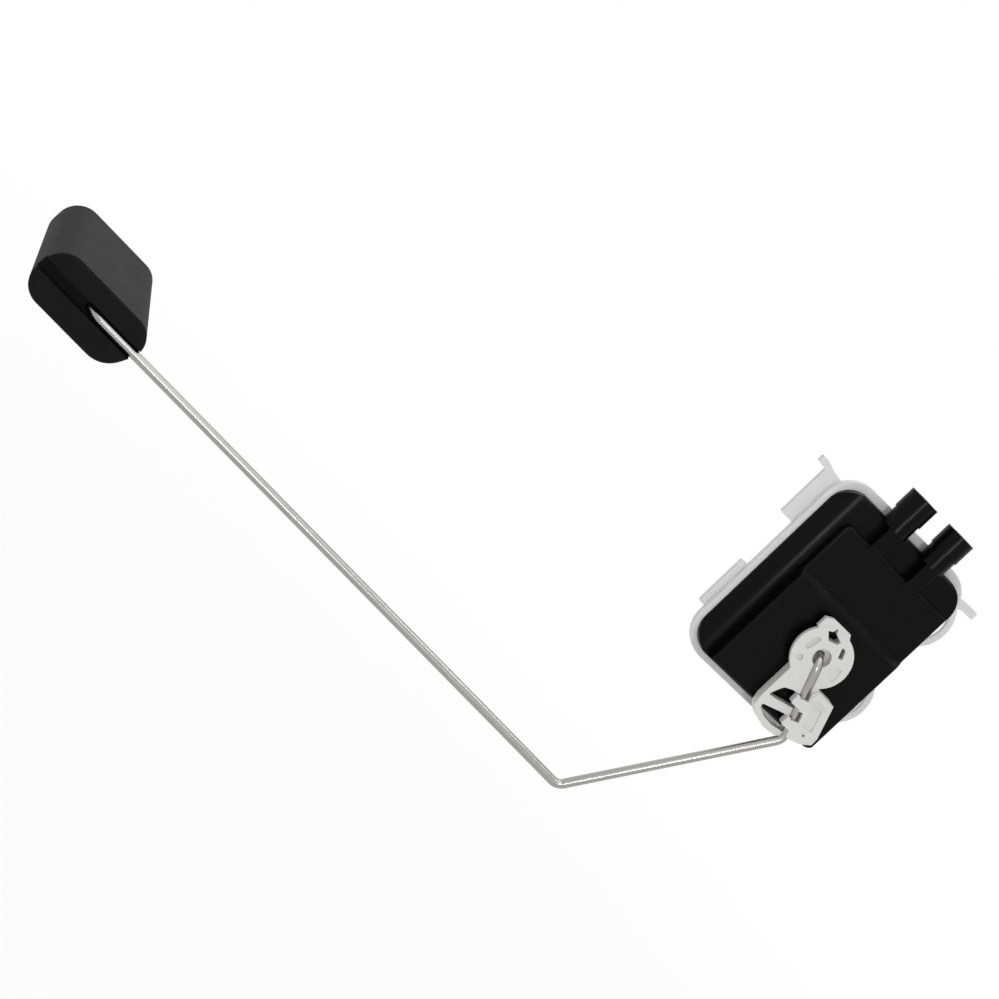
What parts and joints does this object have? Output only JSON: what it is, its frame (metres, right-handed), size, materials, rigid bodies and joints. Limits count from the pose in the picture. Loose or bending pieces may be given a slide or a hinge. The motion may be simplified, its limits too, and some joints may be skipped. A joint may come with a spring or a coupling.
{
  "type": "fuel level sender",
  "caption": "Fuel level sender: a float on a bent wire arm turns a wiper over a resistor card in a flat housing with terminal barrels.",
  "frame": {"origin": "on the carrier's back face, on the arm's pivot axis", "axes": "+Z towards the terminals along the direction in which the carrier slides into its guides, front with the arm faces -Y, the float lies towards -X"},
  "size_m": [0.2338, 0.0659, 0.1168],
  "materials": {
    "black_plastic": "satin black moulded plastic",
    "milky_plastic": "milky white moulded plastic, slightly translucent",
    "natural_plastic": "natural white acetal, satin",
    "terminal_brass": "bare stamped brass",
    "card_ceramic": "matt alumina",
    "resistive_film": "fired dark film",
    "conductor_film": "fired silver alloy film",
    "solder": "smooth solder",
    "spring_alloy": "rolled nickel silver strip",
    "contact_metal": "polished contact alloy",
    "rivet_brass": "bare brass",
    "spring_steel": "bright spring steel",
    "arm_wire": "drawn stainless wire",
    "float_rubber": "closed-cell rubber, fine matt skin"
  },
  "bodies": {
    "housing": {"carrier": "milky_plastic", "cover": "black_plastic", "terminal_left": "terminal_brass", "terminal_right": "terminal_brass", "resistor_card": "card_ceramic", "resistor_track": "resistive_film", "contact_comb": "conductor_film", "return_track": "conductor_film", "card_pads": "conductor_film", "solder_joints": "solder"},
    "arm": {"arm_holder": "natural_plastic", "wiper_rotor": "natural_plastic", "wiper_spring": "spring_alloy", "wiper_contacts": "contact_metal", "wiper_rivets": "rivet_brass", "shaft_retainer": "spring_steel", "float_arm": "arm_wire", "float": "float_rubber", "float_retainer": "spring_steel"}
  },
  "joints": [
    {"name": "arm_swing", "type": "hinge", "parent": "housing", "child": "arm", "pos_m": [0, 0, 0], "axis": [0, 1, 0], "range_deg": [0, 72]}
  ]
}
